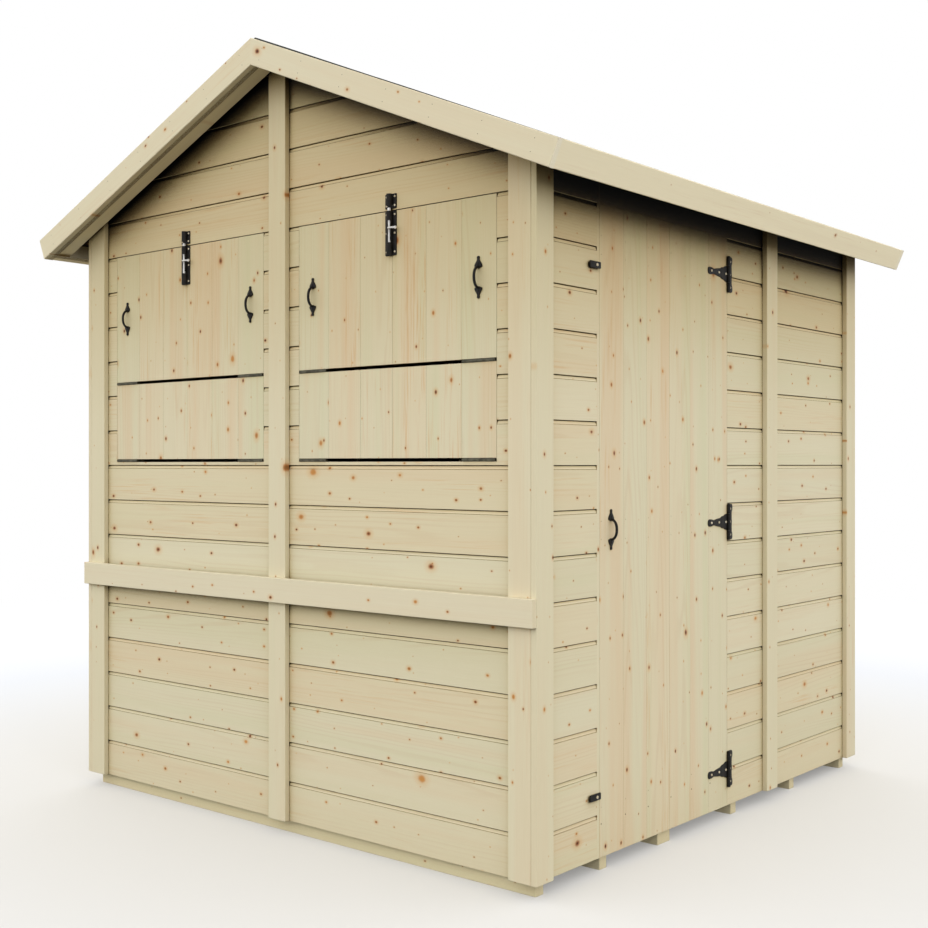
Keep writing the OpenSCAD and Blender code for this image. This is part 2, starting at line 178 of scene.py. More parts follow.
def wood(name, tones, streaks=0.3, rings=0.12, knots=0.8, rough=0.62, pink="#D6BC9A", green="#CACBA6",
         streak="#CDA06E", eaves=(0.20, 0.86)):
    """Planed softwood that reads each board's own coordinates: grain (along, across, out) and heart, off the pith.
    Boards of a high tone have the most streaks. eaves is the openness upwards where the painted shade under the eaves
    is full, and where it ends; with None the wood gets neither that painted shade nor the painted darkening towards
    the top."""
    k = Look(name, Roughness=rough, IOR=1.45)
    k.put(k.surface.inputs["Specular IOR Level"], 0.25)
    grain, heart, tone = k.attribute("grain"), k.attribute("heart"), k.attribute("tone", "Fac")
    colour = k.ramp(tone, tones)

    # soft figure: broad pinkish and greenish bands that run with the board
    broad = k.noise(k.scaled(grain, (0.5, 13.0, 13.0)), 2.0)
    colour = k.mix(k.span(broad, 0.50, 0.68, 0.0, 1.2 * streaks), colour, rgb(pink))
    colour = k.mix(k.span(broad, 0.47, 0.30, 0.0, 0.9 * streaks), colour, rgb(green))

    # fine orange streaks, close together in some boards and stretches
    where = k.span(k.noise(k.scaled(grain, (1.6, 14.0, 14.0)), 1.0), 0.42, 0.66, 0.05, 1.0)
    fine = k.span(k.noise(k.scaled(grain, (4.6, 150.0, 150.0)), 3.0, 0.6), 0.50, 0.72, 0.0, 1.7 * streaks)
    lively = k.math("MULTIPLY", where, k.span(tone, 0.3, 0.85, 0.15, 1.0))
    colour = k.mix(k.math("MULTIPLY", fine, lively), colour, rgb(streak))

    # growth rings cut by the face, bent by the wander of the trunk
    wander = k.add("TexNoise", {"Vector": k.scaled(grain, (1.6, 9.0, 9.0)), "Scale": 1.0, "Detail": 2.0}, "Color")
    bent = k.add("VectorMath", {0: wander, 1: (0.016, 0.016, 0.0), 2: heart}, operation="MULTIPLY_ADD")
    radius = k.add("VectorMath", {0: bent}, "Value", operation="LENGTH")
    uneven = k.noise(k.scaled(grain, (0.35, 22.0, 22.0)), 2.0)
    wave = k.math("SINE", k.math("MULTIPLY", k.math("MULTIPLY_ADD", uneven, 0.02, radius), 900.0))
    patch = k.span(k.noise(k.scaled(grain, (0.7, 16.0, 16.0)), 1.0), 0.38, 0.66)
    ring_share = k.math("MULTIPLY", k.span(wave, 0.1, 1.0, 0.0, rings), patch)
    colour = k.mix(ring_share, colour, rgb("#B98F62"))

    # fine fibres
    fibres = k.noise(k.scaled(grain, (7.0, 420.0, 420.0)), 3.0, 0.6)
    colour = k.mix(0.5, colour, k.ramp(fibres, ["#EEE9DF", "#FFFFFF"]), "MULTIPLY")

    # knots: one cell of a grid may hold one, from a pin knot to a thumbnail
    height = k.math("MULTIPLY", fibres, 0.5)
    wobble = k.noise(k.scaled(grain, (60.0, 90.0, 90.0)), 1.0)
    for cell, share, small, large, dark in KNOTS:
        place = k.scaled(grain, (0.74 / cell, 1.0 / cell, 0.0))
        away = k.add("TexVoronoi", {"Vector": place, "Scale": 1.0}, "Distance", voronoi_dimensions="2D")
        parts = k.tree.nodes.new("ShaderNodeSeparateColor")
        k.put(parts.inputs[0], away.node.outputs["Color"])
        pick, other = parts.outputs[0], parts.outputs[1]
        away = k.math("MULTIPLY_ADD", wobble, 0.016, away)
        size = k.math("MULTIPLY", k.math("LESS_THAN", other, share * knots),
                      k.math("MULTIPLY_ADD", k.math("POWER", pick, 2.6), large - small, small))
        ratio = k.math("DIVIDE", away, k.math("MAXIMUM", size, 1e-4))
        colour = k.mix(k.span(ratio, 2.8, 0.9, 0.0, 0.36), colour, rgb("#CB9A5C"))
        heartwood = k.mix(k.span(other, 0.0, share * knots, 0.0, 1.0), rgb("#8F4C20"), rgb("#BE8038"))
        colour = k.mix(k.span(ratio, 1.3, 0.6, 0.0, 0.9), colour, heartwood)
        core = k.math("MULTIPLY", k.span(ratio, 0.8, 0.35), k.span(other, 0.0, share * knots * dark, 1.0, 0.0))
        colour = k.mix(core, colour, rgb("#43200E"))
        height = k.math("SUBTRACT", height, k.span(ratio, 1.2, 0.8, 0.0, 0.5))

    # painted shade, multiplied into the colour by ambient occlusion: in narrow gaps, and under the eaves, where the
    # view upwards is closed
    narrow = k.span(k.add("AmbientOcclusion", {"Distance": 0.05}, "AO", samples=8), 0.05, 0.45)
    colour = k.mix(1.0, colour, k.ramp(narrow, ["#A8864E", "#D8CBA8", "#FFFFFF"]), "MULTIPLY")
    if eaves is not None:
        place = k.add("NewGeometry", {}, "Position")
        upwards = k.add("VectorMath", {0: k.add("VectorMath", {0: place.node.outputs["Normal"], 1: (0, 0, 0.8)})},
                        operation="NORMALIZE")
        view = k.add("AmbientOcclusion", {"Distance": 0.45, "Normal": upwards}, "AO", samples=12)
        openness = k.add("MapRange", {"Value": view, "From Min": eaves[0], "From Max": eaves[1]})
        colour = k.mix(1.0, colour, k.ramp(openness, EAVE_SHADE), "MULTIPLY")
        # painted shade: the colour grows darker towards the top, between two heights
        colour = k.mix(k.span(k.add("SeparateXYZ", {0: place}, 2), *PAINTED_TOP_SHADE_HEIGHTS), colour,
                       k.mix(1.0, colour, rgb(PAINTED_TOP_SHADE), "MULTIPLY"))

    height = k.math("ADD", height, k.math("MULTIPLY", ring_share, 0.4))
    return k.paint(colour, k.span(fibres, 0.2, 0.8, rough - 0.06, rough + 0.08), k.bump(height, 0.00035, 0.6))


def end_grain(name, light, dark):
    """Sawn board end: growth rings round the pith."""
    k = Look(name, Roughness=0.8)
    grain, heart = k.attribute("grain"), k.attribute("heart")
    wander = k.noise(k.scaled(grain, (8.0, 40.0, 40.0)), 2.0)
    radius = k.add("VectorMath", {0: k.scaled(heart, (1.0, 1.0, 0.0))}, "Value", operation="LENGTH")
    wave = k.math("SINE", k.math("MULTIPLY", k.math("ADD", radius, k.math("MULTIPLY", wander, 0.004)), 1500.0))
    saw = k.noise(k.scaled(grain, (400.0, 900.0, 160.0)), 2.0)
    colour = k.mix(k.span(wave, -0.4, 1.0, 0.1, 0.8), rgb(light), rgb(dark))
    colour = k.mix(0.5, colour, k.ramp(saw, ["#D8D0C0", "#FFFFFF"]), "MULTIPLY")
    return k.paint(colour, None, k.bump(saw, 0.0004, 0.5))


def iron_paint():
    """Black japanned steel, rubbed to grey-brown in places."""
    k = Look("black_iron_look", IOR=1.45)
    k.put(k.surface.inputs["Specular IOR Level"], 0.3)
    place = k.add("TexCoord", {}, "Object")
    cloud = k.noise(place, 4.0, 0.6, 55.0)
    grit = k.noise(place, 2.0, 0.6, 900.0)
    colour = k.ramp(k.span(cloud, 0.35, 0.68), ["#0D0A08", "#13100D", "#241F1A"])
    return k.paint(colour, k.span(cloud, 0.3, 0.7, 0.46, 0.62), k.bump(grit, 0.0002, 0.35))


def zinc_plate(name, colours, rough, metallic=0.9):
    """Brushed, plated steel with cloudy tones."""
    k = Look(name, Metallic=metallic)
    place = k.add("TexCoord", {}, "Object")
    cloud = k.noise(place, 4.0, 0.6, 70.0)
    brushed = k.noise(k.scaled(place, (60.0, 900.0, 900.0)), 2.0)
    colour = k.ramp(k.span(cloud, 0.3, 0.7), colours)
    return k.paint(colour, k.span(cloud, 0.3, 0.7, rough, rough + 0.16), k.bump(brushed, 0.0001, 0.3))


def mineral_felt():
    """Charcoal roofing felt with a skin of crushed slate."""
    k = Look("roofing_felt_look", Roughness=0.93)
    grain = k.attribute("grain")
    grit = k.add("TexVoronoi", {"Vector": grain, "Scale": 520.0}, "Color")
    speck = k.add("SeparateColor", {0: grit}, 0)
    cloud = k.noise(k.scaled(grain, (1.5, 5.0, 5.0)), 4.0, 0.6)
    colour = k.ramp(speck, ["#1B1C1C", "#262727", "#2E2F2E", "#3A3B39", "#565752"])
    colour = k.mix(k.span(cloud, 0.35, 0.7, 0.0, 0.5), colour, rgb("#2A2926"))
    lump = k.math("ADD", speck, k.math("MULTIPLY", cloud, 2.5))
    return k.paint(colour, None, k.bump(lump, 0.0008, 0.7))


def floor_look():
    """Pale studio floor: white far off, a little deeper round the shed, and with the shed's shadow kept, though a
    painted glow lightens it; next to the shed a warm tone is painted bounce light from the wood.
    """
    k = Look("studio_floor", Roughness=0.9)
    k.put(k.surface.inputs["Specular IOR Level"], 0.0)
    place = k.add("NewGeometry", {}, "Position")
    away = k.add("VectorMath", {0: k.scaled(place, (1.0, 1.0, 0.0))}, "Value", operation="LENGTH")
    shown = k.ramp(k.span(away, 0.8, 5.0), FLOOR)
    seen = k.add("LightPath", {}, "Is Camera Ray")
    k.put(k.surface.inputs["Base Color"], k.mix(seen, rgb(FLOOR_BOUNCE), shown))
    glow_tone = k.mix(k.span(away, 1.4, 5.0), rgb(FLOOR_GLOW[0]), rgb(FLOOR_GLOW[1]))
    glow = k.add("Emission", {"Color": glow_tone, "Strength": 1.0})
    shine = k.math("MAXIMUM", k.add("LightPath", {}, "Is Glossy Ray"), k.add("LightPath", {}, "Is Transmission Ray"))
    # the floor glows for the camera with at least a 0.3 share even next to the shed: painted light that lightens the
    # shed's shadow; far off it is the white backdrop
    share = k.math("MAXIMUM", shine, k.math("MULTIPLY", seen, k.span(away, 2.4, 6.5, 0.3, 1.0)))
    mixed = k.add("MixShader", {0: share, 1: k.surface.outputs[0], 2: glow})
    k.tree.links.new(mixed, k.tree.nodes["Material Output"].inputs["Surface"])
    return k.material


FLOOR = ["#E3E0DA", "#DBDEE3", "#E5E7E9"]  # from the shed outwards, as the camera sees it; the warm tone next to the shed is painted bounce light
FLOOR_BOUNCE, FLOOR_GLOW = "#5C5B58", ("#DFDFDE", "#FFFFFF")
# painted shade under the eaves, multiplied into the wood, from the most closed view upwards to an open one
EAVE_SHADE = ["#030200", "#8A7957", "#DDD4BA", "#ECE6D8", "#F2ECDF", "#F5F0E6", "#F8F4EC", "#FBF9F4", "#FFFFFF"]
PAINTED_TOP_SHADE, PAINTED_TOP_SHADE_HEIGHTS = "#F2EDE2", (1.1, 1.65)  # painted shade that darkens the colour towards the top, and the heights it grows between
PALE = ["#D6CFB3", "#D3CBAD", "#D8D0B4", "#D6CBAC", "#D5CAAA"]
CLADDING = [wood("cladding_timber_look", PALE, streaks=0.22), end_grain("cladding_ends", "#CDBB93", "#A98F66")]
UPRIGHT = [wood("upright_board_look", ["#D3CEB1", "#D5CDB0", "#D6CDB0", "#D7CBAD"], streaks=0.42),
           CLADDING[1]]
TRIM_TONES = ["#D8CFB4", "#D5CCAE", "#D7CEB1", "#D4C9AB"]
TRIM = [wood("trim_timber_look", TRIM_TONES, streaks=0.18, rings=0.04, knots=0.6, eaves=(0.04, 0.40)),
        end_grain("trim_ends", "#DED4B8", "#CDBE9A")]
FASCIA = [wood("fascia_timber_look", ["#F2E6C4", "#F5EACA"], streaks=0.10, rings=0.0, knots=0.35, eaves=None),
          end_grain("fascia_ends", "#FBF3DC", "#F3E9CC")]
BARGE = [wood("bargeboard_timber_look", TRIM_TONES, streaks=0.14, rings=0.03, knots=0.6, eaves=None), FASCIA[1]]
FRAMING = [wood("framing_timber_look", ["#CEC09A", "#C6B68D", "#D1C39F", "#C9BA90"], streaks=0.4, rings=0.2,
                rough=0.75, eaves=None), end_grain("framing_ends", "#CDBB92", "#AE946A")]
# bearers paler than the framing timber: partly their own tone, partly painted bounce light from the floor
BEARER = [wood("bearer_timber_look", ["#DBD1AD", "#D6CAA4", "#DDD3B2"], streaks=0.2, rings=0.1, rough=0.75,
               eaves=None), end_grain("bearer_ends", "#D9CEAA", "#C5B488")]
# rake joists much paler than the framing timber: painted light on their undersides, which the dim floor bounce leaves
# dark
RAKE = [wood("rake_joist_painted_light_look", ["#F3E9C8", "#EFE4BE", "#F5EBCC"], streaks=0.2, rings=0.1, eaves=None), FASCIA[1]]
# roof boards coloured near black: painted shade under the eaves and under the roof
DECK = [wood("roof_board_painted_shade_look", ["#1F1A15", "#27211A", "#2B241C"], streaks=0.4, knots=0.2, rough=0.85,
             pink="#2A1F16", green="#201D16", streak="#17120E", eaves=None),
        end_grain("roof_board_ends_painted_shade", "#2B241C", "#1C1712")]
FELT = [mineral_felt()]
IRON = [iron_paint()]
ZINC = [zinc_plate("zinc_plate_look", ["#D2D0CC", "#E2E0DC", "#EFEDE9"], 0.36, 0.55)]
DULL_ZINC = [zinc_plate("dull_zinc_look", ["#46443A", "#5B594C", "#706D5F"], 0.44)]
SCREW = [zinc_plate("screw_look", ["#C8B896", "#E2D3B2", "#EFE6CF"], 0.34, 0.5)]
NAIL = [zinc_plate("nail_look", ["#4A3A2C", "#5E4B3A", "#74604C"], 0.5)]


# ---- meshes ----


def piece(name, bm, body, looks, replaces=(), smooth=None):
    """Turns a bmesh into a piece that rides on a body and may stand for CAD nodes."""
    bmesh.ops.recalc_face_normals(bm, faces=bm.faces)
    mesh = bpy.data.meshes.new(name)
    bm.to_mesh(mesh)
    bm.free()
    for look in looks:
        mesh.materials.append(look)
    if smooth is not None:
        mesh.shade_smooth()
        mesh.set_sharp_from_angle(angle=math.radians(smooth))
    obj = bpy.data.objects.new(name, mesh)
    bpy.context.scene.collection.objects.link(obj)
    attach(obj, body)
    if replaces:
        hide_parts(*replaces)


def clip(profile, keep):
    """The part of a closed profile where the linear function keep(across, out) isn't negative."""
    kept = []
    for p, q in zip(profile, profile[1:] + profile[:1]):
        a, b = keep(*p), keep(*q)
        if a >= 0:
            kept.append(p)
        if a * b < 0:
            t = a / (a - b)
            kept.append((p[0] + t * (q[0] - p[0]), p[1] + t * (q[1] - p[1])))
    return kept


def plank(width, thick, ease=1.0 * MM):
    """Profile of a plain board with eased edges."""
    e = ease
    return [(e, 0), (width - e, 0), (width, -e), (width, e - thick), (width - e, -thick), (e, -thick),
            (0, e - thick), (0, -e)]


class Timber:
    """Boards of one piece: closed prisms, each with its own grain."""

    def __init__(self):
        self.bm = bmesh.new()
        layers = self.bm.verts.layers
        self.grain, self.heart = layers.float_vector.new("grain"), layers.float_vector.new("heart")
        self.tone = layers.float.new("tone")

    def mark(self, verts, origin, along, across, out, tone=None):
        """Writes one board's coordinates on its points."""
        shift = Vector((rng.uniform(0, 60), rng.uniform(0, 60), rng.uniform(0, 9)))
        pith = Vector((rng.uniform(-0.02, 0.12), rng.uniform(0.02, 0.09), 0))
        lean = rng.uniform(-0.03, 0.03)
        tone = rng.random() if tone is None else tone
        for v in verts:
            d = v.co - origin
            a, c, o = d.dot(along), d.dot(across), d.dot(out)
            v[self.grain] = shift + Vector((a, c, o))
            v[self.heart] = Vector((c - pith.x, o + pith.y + lean * a, 0))
            v[self.tone] = tone

    def board(self, origin, along, across, out, profile, lo, hi, tone=None):
        """Profile points are (across, out). lo and hi are places along, or functions of (across, out)."""
        rings = [[self.bm.verts.new(origin + along * (end(c, o) if callable(end) else end) + across * c + out * o)
                  for c, o in profile] for end in (lo, hi)]
        self.skin(rings)
        self.mark(rings[0] + rings[1], origin, along, across, out, tone)

    def skin(self, rings):
        n = len(rings[0])
        for a, b in zip(rings, rings[1:]):
            for i in range(n):
                self.bm.faces.new((a[i], a[(i + 1) % n], b[(i + 1) % n], b[i]))
        for ring in (rings[0], rings[-1][::-1]):
            self.bm.faces.new(ring).material_index = 1

    def piece(self, name, body, slot, looks, replaces=()):
        piece(name, self.bm, body, looks, replaces)


def dress(node, slot, looks, ease=1.2 * MM):
    """Copies a timber CAD node, eases its edges and gives each board in it its own grain."""
    timber = Timber()
    bm = timber.bm
    bm.from_mesh(frame["nodes"][node].data)
    bmesh.ops.remove_doubles(bm, verts=bm.verts, dist=1e-5)
    bmesh.ops.dissolve_limit(bm, angle_limit=math.radians(0.5), verts=bm.verts, edges=bm.edges)
    sharp = [e for e in bm.edges if len(e.link_faces) == 2 and e.calc_face_angle(0) > math.radians(20)]
    bmesh.ops.bevel(bm, geom=sharp, offset=ease, segments=2, profile=0.5, affect="EDGES", clamp_overlap=True)
    timber.grain = bm.verts.layers.float_vector["grain"]
    timber.heart = bm.verts.layers.float_vector["heart"]
    timber.tone = bm.verts.layers.float["tone"]
    seen = set()
    for start in bm.verts:
        if start in seen:
            continue
        part, queue = [], [start]
        seen.add(start)
        while queue:
            v = queue.pop()
            part.append(v)
            for e in v.link_edges:
                w = e.other_vert(v)
                if w not in seen:
                    seen.add(w)
                    queue.append(w)
        edges = {e for v in part for e in v.link_edges}
        longest = max(edges, key=lambda e: (round(e.calc_length(), 5), tuple(e.verts[0].co)))
        along = (longest.verts[1].co - longest.verts[0].co).normalized()
        spread = {i: max(v.co[i] for v in part) - min(v.co[i] for v in part) for i in range(3)}
        thin = min((i for i in range(3) if abs(along[i]) < 0.3), key=lambda i: spread[i])
        out = Vector([float(i == thin) for i in range(3)])
        out = (out - along * out.dot(along)).normalized()
        across = out.cross(along)
        timber.mark(part, part[0].co.copy(), along, across, out)
        for f in {f for v in part for f in v.link_faces}:
            if abs(f.normal.dot(along)) > 0.85:
                f.material_index = 1
    body = frame["nodes"][node]["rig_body"]
    timber.piece(node + "_wood", body, slot, looks, [node])


# ---- cladding ----

LINE = 100.3 * MM  # where a board's face ends at a fine groove, under the scooped band below the next board
SHIPLAP = [(0.5 * MM, 0), (LINE, 0), (LINE + 0.2 * MM, -2.2 * MM), (LINE + 1.2 * MM, -2.2 * MM),
           (LINE + 1.5 * MM, -1.1 * MM), (LINE + 9.7 * MM, -4.0 * MM), (LINE + 10.0 * MM, -7.4 * MM),
           (BOARD_H, -7.4 * MM), (BOARD_H, -BOARD), (6.6 * MM, -BOARD), (6.6 * MM, -6.8 * MM),
           (0, -6.8 * MM), (0, -0.5 * MM)]


def clad(timber, origin, along, out, z0, z1, lo, hi, top=None):
    """Rows of shiplap between two heights. lo and hi are ends along the wall, or functions of height."""
    for row in range(int((z0 - skirt_z) / ROW + 1e-6), MOST_ROWS):
        base = skirt_z + row * ROW
        if base >= z1 - 1e-6:
            break
        profile = SHIPLAP
        if base < z0 - 1e-6:
            profile = clip(profile, lambda c, o: base + c - z0)
        if base + BOARD_H > z1:
            profile = clip(profile, lambda c, o: z1 - base - c)
        if top is not None:
            profile = clip(profile, lambda c, o: top(o) - base - c)
        if len(profile) < 3:
            continue
        ends = [(lambda c, o, e=e: e(base + c)) if callable(e) else e for e in (lo, hi)]
        timber.board(origin + Z * base, along, Z, out, profile, *ends)


def gable_end(z):
    """Half the width of the gable's cladding at a height."""
    return min(side_x, max(0.002, (under_deck - z) / SLOPE))


def under_eave(o):
    """Height of the roof boards' underside over a side wall's face, o behind it."""
    return under_deck - (side_x + o) * SLOPE


front_face = Vector((0, front_y, 0))
lower = Timber()
clad(lower, front_face, X, -Y, skirt_z, sill_z, -side_x, side_x)
lower.piece("front_cladding_lower", "shed", "cladding_timber", CLADDING, ["front_wall_lower"])

gable = Timber()
apex = under_deck - 0.004
clad(gable, front_face, X, -Y, skirt_z + HATCH_ROWS * ROW, apex, lambda z: -gable_end(z), gable_end)
gable.piece("front_cladding_gable", "shed", "cladding_timber", CLADDING, ["front_wall_gable"])

strips = Timber()
FLAP_COVER = 4.3 * MM  # how far the boards narrow the gap beside the flaps
outer, inner = hatch_outer - FLAP_COVER, hatch_inner + FLAP_COVER
for lo, hi in ((-side_x, -outer), (-inner, inner), (outer, side_x)):
    clad(strips, front_face, X, -Y, sill_z, skirt_z + HATCH_ROWS * ROW, lo, hi)
strips.piece("front_cladding_strips", "shed", "cladding_timber", CLADDING, ["front_wall_strips"])

back = Timber()
clad(back, Vector((0, back_y, 0)), X, Y, skirt_z, apex, lambda z: -gable_end(z), gable_end)
back.piece("back_cladding", "shed", "cladding_timber", CLADDING, ["back_wall"])

left = Timber()
clad(left, Vector((-side_x, 0, 0)), Y, -X, skirt_z, ridge_z, -inner_y, inner_y, under_eave)
left.piece("left_cladding", "shed", "cladding_timber", CLADDING, ["left_wall"])

JAMB_W = 11 * MM  # plain strip that closes the grooves beside the door
COVER = 4.5 * MM  # how far the boards narrow the gap round the door
right_face = Vector((side_x, 0, 0))
ahead = Timber()
strip_y = gap_y0 + COVER - JAMB_W
clad(ahead, right_face, Y, X, skirt_z, ridge_z, -inner_y, strip_y, under_eave)
ahead.board(Vector((side_x, strip_y, skirt_z)), Z, Y, X, plank(JAMB_W, BOARD, 0.2 * MM),
            0, lambda c, o: under_eave(o) - skirt_z)
ahead.piece("right_cladding_front", "shed", "cladding_timber", CLADDING, ["right_wall_front"])
behind = Timber()
clad(behind, right_face, Y, X, skirt_z, ridge_z, gap_y1 - COVER, inner_y, under_eave)
behind.piece("right_cladding_back", "shed", "cladding_timber", CLADDING, ["right_wall_back"])
header = Timber()
clad(header, right_face, Y, X, gap_top - COVER, ridge_z, gap_y0 + COVER, gap_y1 - COVER, under_eave)
header.piece("right_cladding_header", "shed", "cladding_timber", CLADDING, ["right_wall_header"])

# ---- framing, trims and roof ----

dress("floor_bearers", "framing_timber", BEARER)
dress("rake_joists", "framing_timber", RAKE)
for node in ("wall_posts", "wall_rails", "ridge_beam"):
    dress(node, "framing_timber", FRAMING)
for node in ("front_trims", "back_trims", "right_trims", "left_trims", "bar_rail"):
    dress(node, "trim_timber", TRIM, 1.6 * MM)

floor_low, floor_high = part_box("floor_boards")
floor = Timber()
lanes = 16
lane = (floor_high.x - floor_low.x) / lanes
for i in range(lanes):
    floor.board(Vector((floor_low.x + i * lane + 0.2 * MM, 0, floor_high.z)), Y, X, Z,
                plank(lane - 0.4 * MM, floor_high.z - floor_low.z), floor_low.y, floor_high.y)
floor.piece("floor_lining", "shed", "framing_timber", FRAMING, ["floor_boards"])

slope_len = roof_reach / math.cos(PITCH)
sheet_s = slope_len - TRIM_T
roof_inner_y = roof_y - TRIM_T
deck, felt, barges, fascias = Timber(), Timber(), Timber(), Timber()
courses = 11
course = sheet_s / courses
ridge = Vector((0, 0, ridge_z))
FACE_EASED = plank(TRIM_W, 2 * TRIM_T, 1.6 * MM)[:4] + [(TRIM_W, -TRIM_T), (0, -TRIM_T), (0, -1.6 * MM)]
# felt strips lapped towards the eave, and a cap over the ridge: (down the slope in m, out of it in mm)
FELT_STRIPS = (((0.52, 1.6), (sheet_s - 0.001, 0.4), (sheet_s, 0.2), (sheet_s, 0), (0.52, 0)),
               ((-0.02, 2.8), (0.20, 2.8), (0.46, 2.0), (0.52, 2.9), (0.599, 2.9), (0.60, 2.4), (0.60, 1.7),
                (0.52, 1.7), (0.46, 0.1), (-0.02, 0.1)),
               ((-0.02, 4.4), (0.139, 4.4), (0.14, 4.0), (0.14, 2.9), (-0.02, 2.9)))
for side in (-1, 1):
    down = Vector((side * math.cos(PITCH), 0, -math.sin(PITCH)))
    up = Vector((side * math.sin(PITCH), 0, math.cos(PITCH)))
    for i in range(courses):
        profile = plank(course - 0.4 * MM, ROOF_BOARD, 1.6 * MM)
        if i == 0:
            profile = clip([(c - 0.02 if c < 0.01 else c, o) for c, o in profile],
                           lambda c, o: c + o * SLOPE - 0.4 * MM)
        deck.board(ridge + down * (i * course), Y, down, up, profile, -roof_inner_y, roof_inner_y)
    for strip in FELT_STRIPS:
        profile = clip([(c, o * MM) for c, o in strip], lambda c, o: c + o * SLOPE - 0.1 * MM)
        felt.board(ridge, Y, down, up, profile, -roof_inner_y, roof_inner_y)
    # bargeboards mitred at the apex, and the fascia along the eave
    for out in (-Y, Y):
        barges.board(ridge + out * roof_y, down, -up, out, FACE_EASED, lambda c, o: c * SLOPE, slope_len)
    fascias.board(ridge + down * slope_len, Y, -up, down, FACE_EASED, -roof_inner_y, roof_inner_y)
barges.piece("gable_bargeboards", "shed", "trim_timber", BARGE, ["bargeboards"])
fascias.piece("eave_boards", "shed", "trim_timber", FASCIA, ["eave_fascias"])
deck.piece("roof_decking", "shed", "dark_roof_boards", DECK, ["roof_boards"])
for f in felt.bm.faces:
    f.material_index = 0
felt.piece("felt_sheets", "shed", "roofing_felt", FELT, ["roof_felt"])

# ---- door and flaps ----


def matchboard(timber, origin, along, across, out, widths, tones, length):
    """Vertical boards side by side, with fine joints between them. Widths are in mm."""
    at = 0.15
    for width, tone in zip(widths, tones):
        timber.board(origin + across * (at * MM), along, across, out,
                     plank((width - 0.3) * MM, BOARD, rng.uniform(0.25, 0.45) * MM), 0, length, tone)
        at += width


DOOR_BOARDS, FLAP_BOARDS = (114, 113, 118, 112, 106, 109), (119, 122.5, 117.5, 119, 120, 112)  # widths in mm
door = Timber()
matchboard(door, Vector((side_x, door_low.y, door_low.z)), Z, Y, X, DOOR_BOARDS, (0.55, 0.25, 0.95, 0.75, 0.4, 0.3),
           door_high.z - door_low.z)
LEDGE = 0.022  # thickness of the ledges behind the door and flaps
DOOR_LEDGE_H, DOOR_LEDGE_IN = 0.090, 0.022  # height, and distance of its ends from the door's edges
FLAP_LEDGE_H, FLAP_LEDGE_IN = 0.060, 0.034
for z in tee_z:
    door.board(Vector((inner_x - LEDGE, 0, z - DOOR_LEDGE_H / 2)), Y, Z, -X, plank(DOOR_LEDGE_H, LEDGE, 2 * MM),
               door_low.y + DOOR_LEDGE_IN, door_high.y - DOOR_LEDGE_IN)
door.piece("door_boards", "door_leaf", "cladding_timber", UPRIGHT, ["door"])

for hand in ("left", "right"):
    for level, body in (("lower", "counter"), ("upper", "shutter")):
        node = f"{hand}_{level}_flap"
        low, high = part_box(node)
        flap = Timber()
        matchboard(flap, Vector((low.x, front_y, low.z)), Z, X, -Y, FLAP_BOARDS, (0.1, 0.8, 0.6, 0.95, 0.65, 0.15),
                   high.z - low.z)
        for z in (low.z + 0.017, high.z - FLAP_LEDGE_IN - FLAP_LEDGE_H):
            flap.board(Vector((0, front_y + BOARD + LEDGE, z)), X, Z, Y, plank(FLAP_LEDGE_H, LEDGE, 2 * MM),
                       low.x + FLAP_LEDGE_IN, high.x - FLAP_LEDGE_IN)
        flap.piece(f"{hand}_{level}_flap_boards", f"{hand}_{body}", "cladding_timber", UPRIGHT, [node])

# ---- fittings ----


class Metal:
    """Solid metal shapes of one piece, each placed by a matrix."""

    def __init__(self):
        self.bm = bmesh.new()

    def rings(self, rings):
        """Closed skin over rings with equal numbers of points, capped at both ends."""
        rows = [[self.bm.verts.new(p) for p in ring] for ring in rings]
        n = len(rows[0])
        for a, b in zip(rows, rows[1:]):
            for i in range(n):
                self.bm.faces.new((a[i], a[(i + 1) % n], b[(i + 1) % n], b[i]))
        self.bm.faces.new(rows[0])
        self.bm.faces.new(rows[-1][::-1])

    def plate(self, place, outline, thick, ease=0.6 * MM):
        """Flat plate on local z = 0, with an eased upper edge. The outline is counter-clockwise."""
        self.rings([[place @ Vector((x, y, z)) for x, y in inset(outline, by)]
                    for z, by in ((0, 0), (thick - ease, 0), (thick - 0.3 * ease, 0.3 * ease), (thick, ease))])

    def lathe(self, place, profile, steps):
        """Turned shape round local z. The profile is (radius, height)."""
        self.rings([[place @ Vector((r * math.cos(t), r * math.sin(t), h))
                     for t in (2 * math.pi * i / steps for i in range(steps))] for r, h in profile])

    def screw(self, place, r):
        """Domed head with a cross recess, its face towards local z."""
        a, b = 0.13 * r, 0.52 * r  # half width and half length of the cross
        cross = [(b, -a), (b, a), (a, a), (a, b), (-a, b), (-a, a),
                 (-b, a), (-b, -a), (-a, -a), (-a, -b), (a, -b), (a, -a)]
        rows = []
        for share, h in ((1.0, 0.0), (1.0, 0.12), (0.84, 0.42)):
            rows.append([place @ Vector((share * r * x / math.hypot(x, y), share * r * y / math.hypot(x, y), h * r))
                         for x, y in cross])
        rows += [[place @ Vector((x, y, h * r)) for x, y in cross] for h in (0.54, 0.1)]
        self.rings(rows)

    def piece(self, name, body, slot, looks, replaces=(), smooth=35):
        piece(name, self.bm, body, looks, replaces, smooth)


def inset(outline, by):
    """A closed outline moved inwards by a small distance."""
    moved = []
    n = len(outline)
    for i in range(n):
        p, q, r = Vector(outline[i - 1]), Vector(outline[i]), Vector(outline[(i + 1) % n])
        d0, d1 = (q - p).normalized(), (r - q).normalized()
        bend = (Vector((-d0.y, d0.x)) + Vector((-d1.y, d1.x))).normalized()
        moved.append(tuple(q + bend * by / max(0.5, bend.dot(Vector((-d1.y, d1.x))))))
    return moved


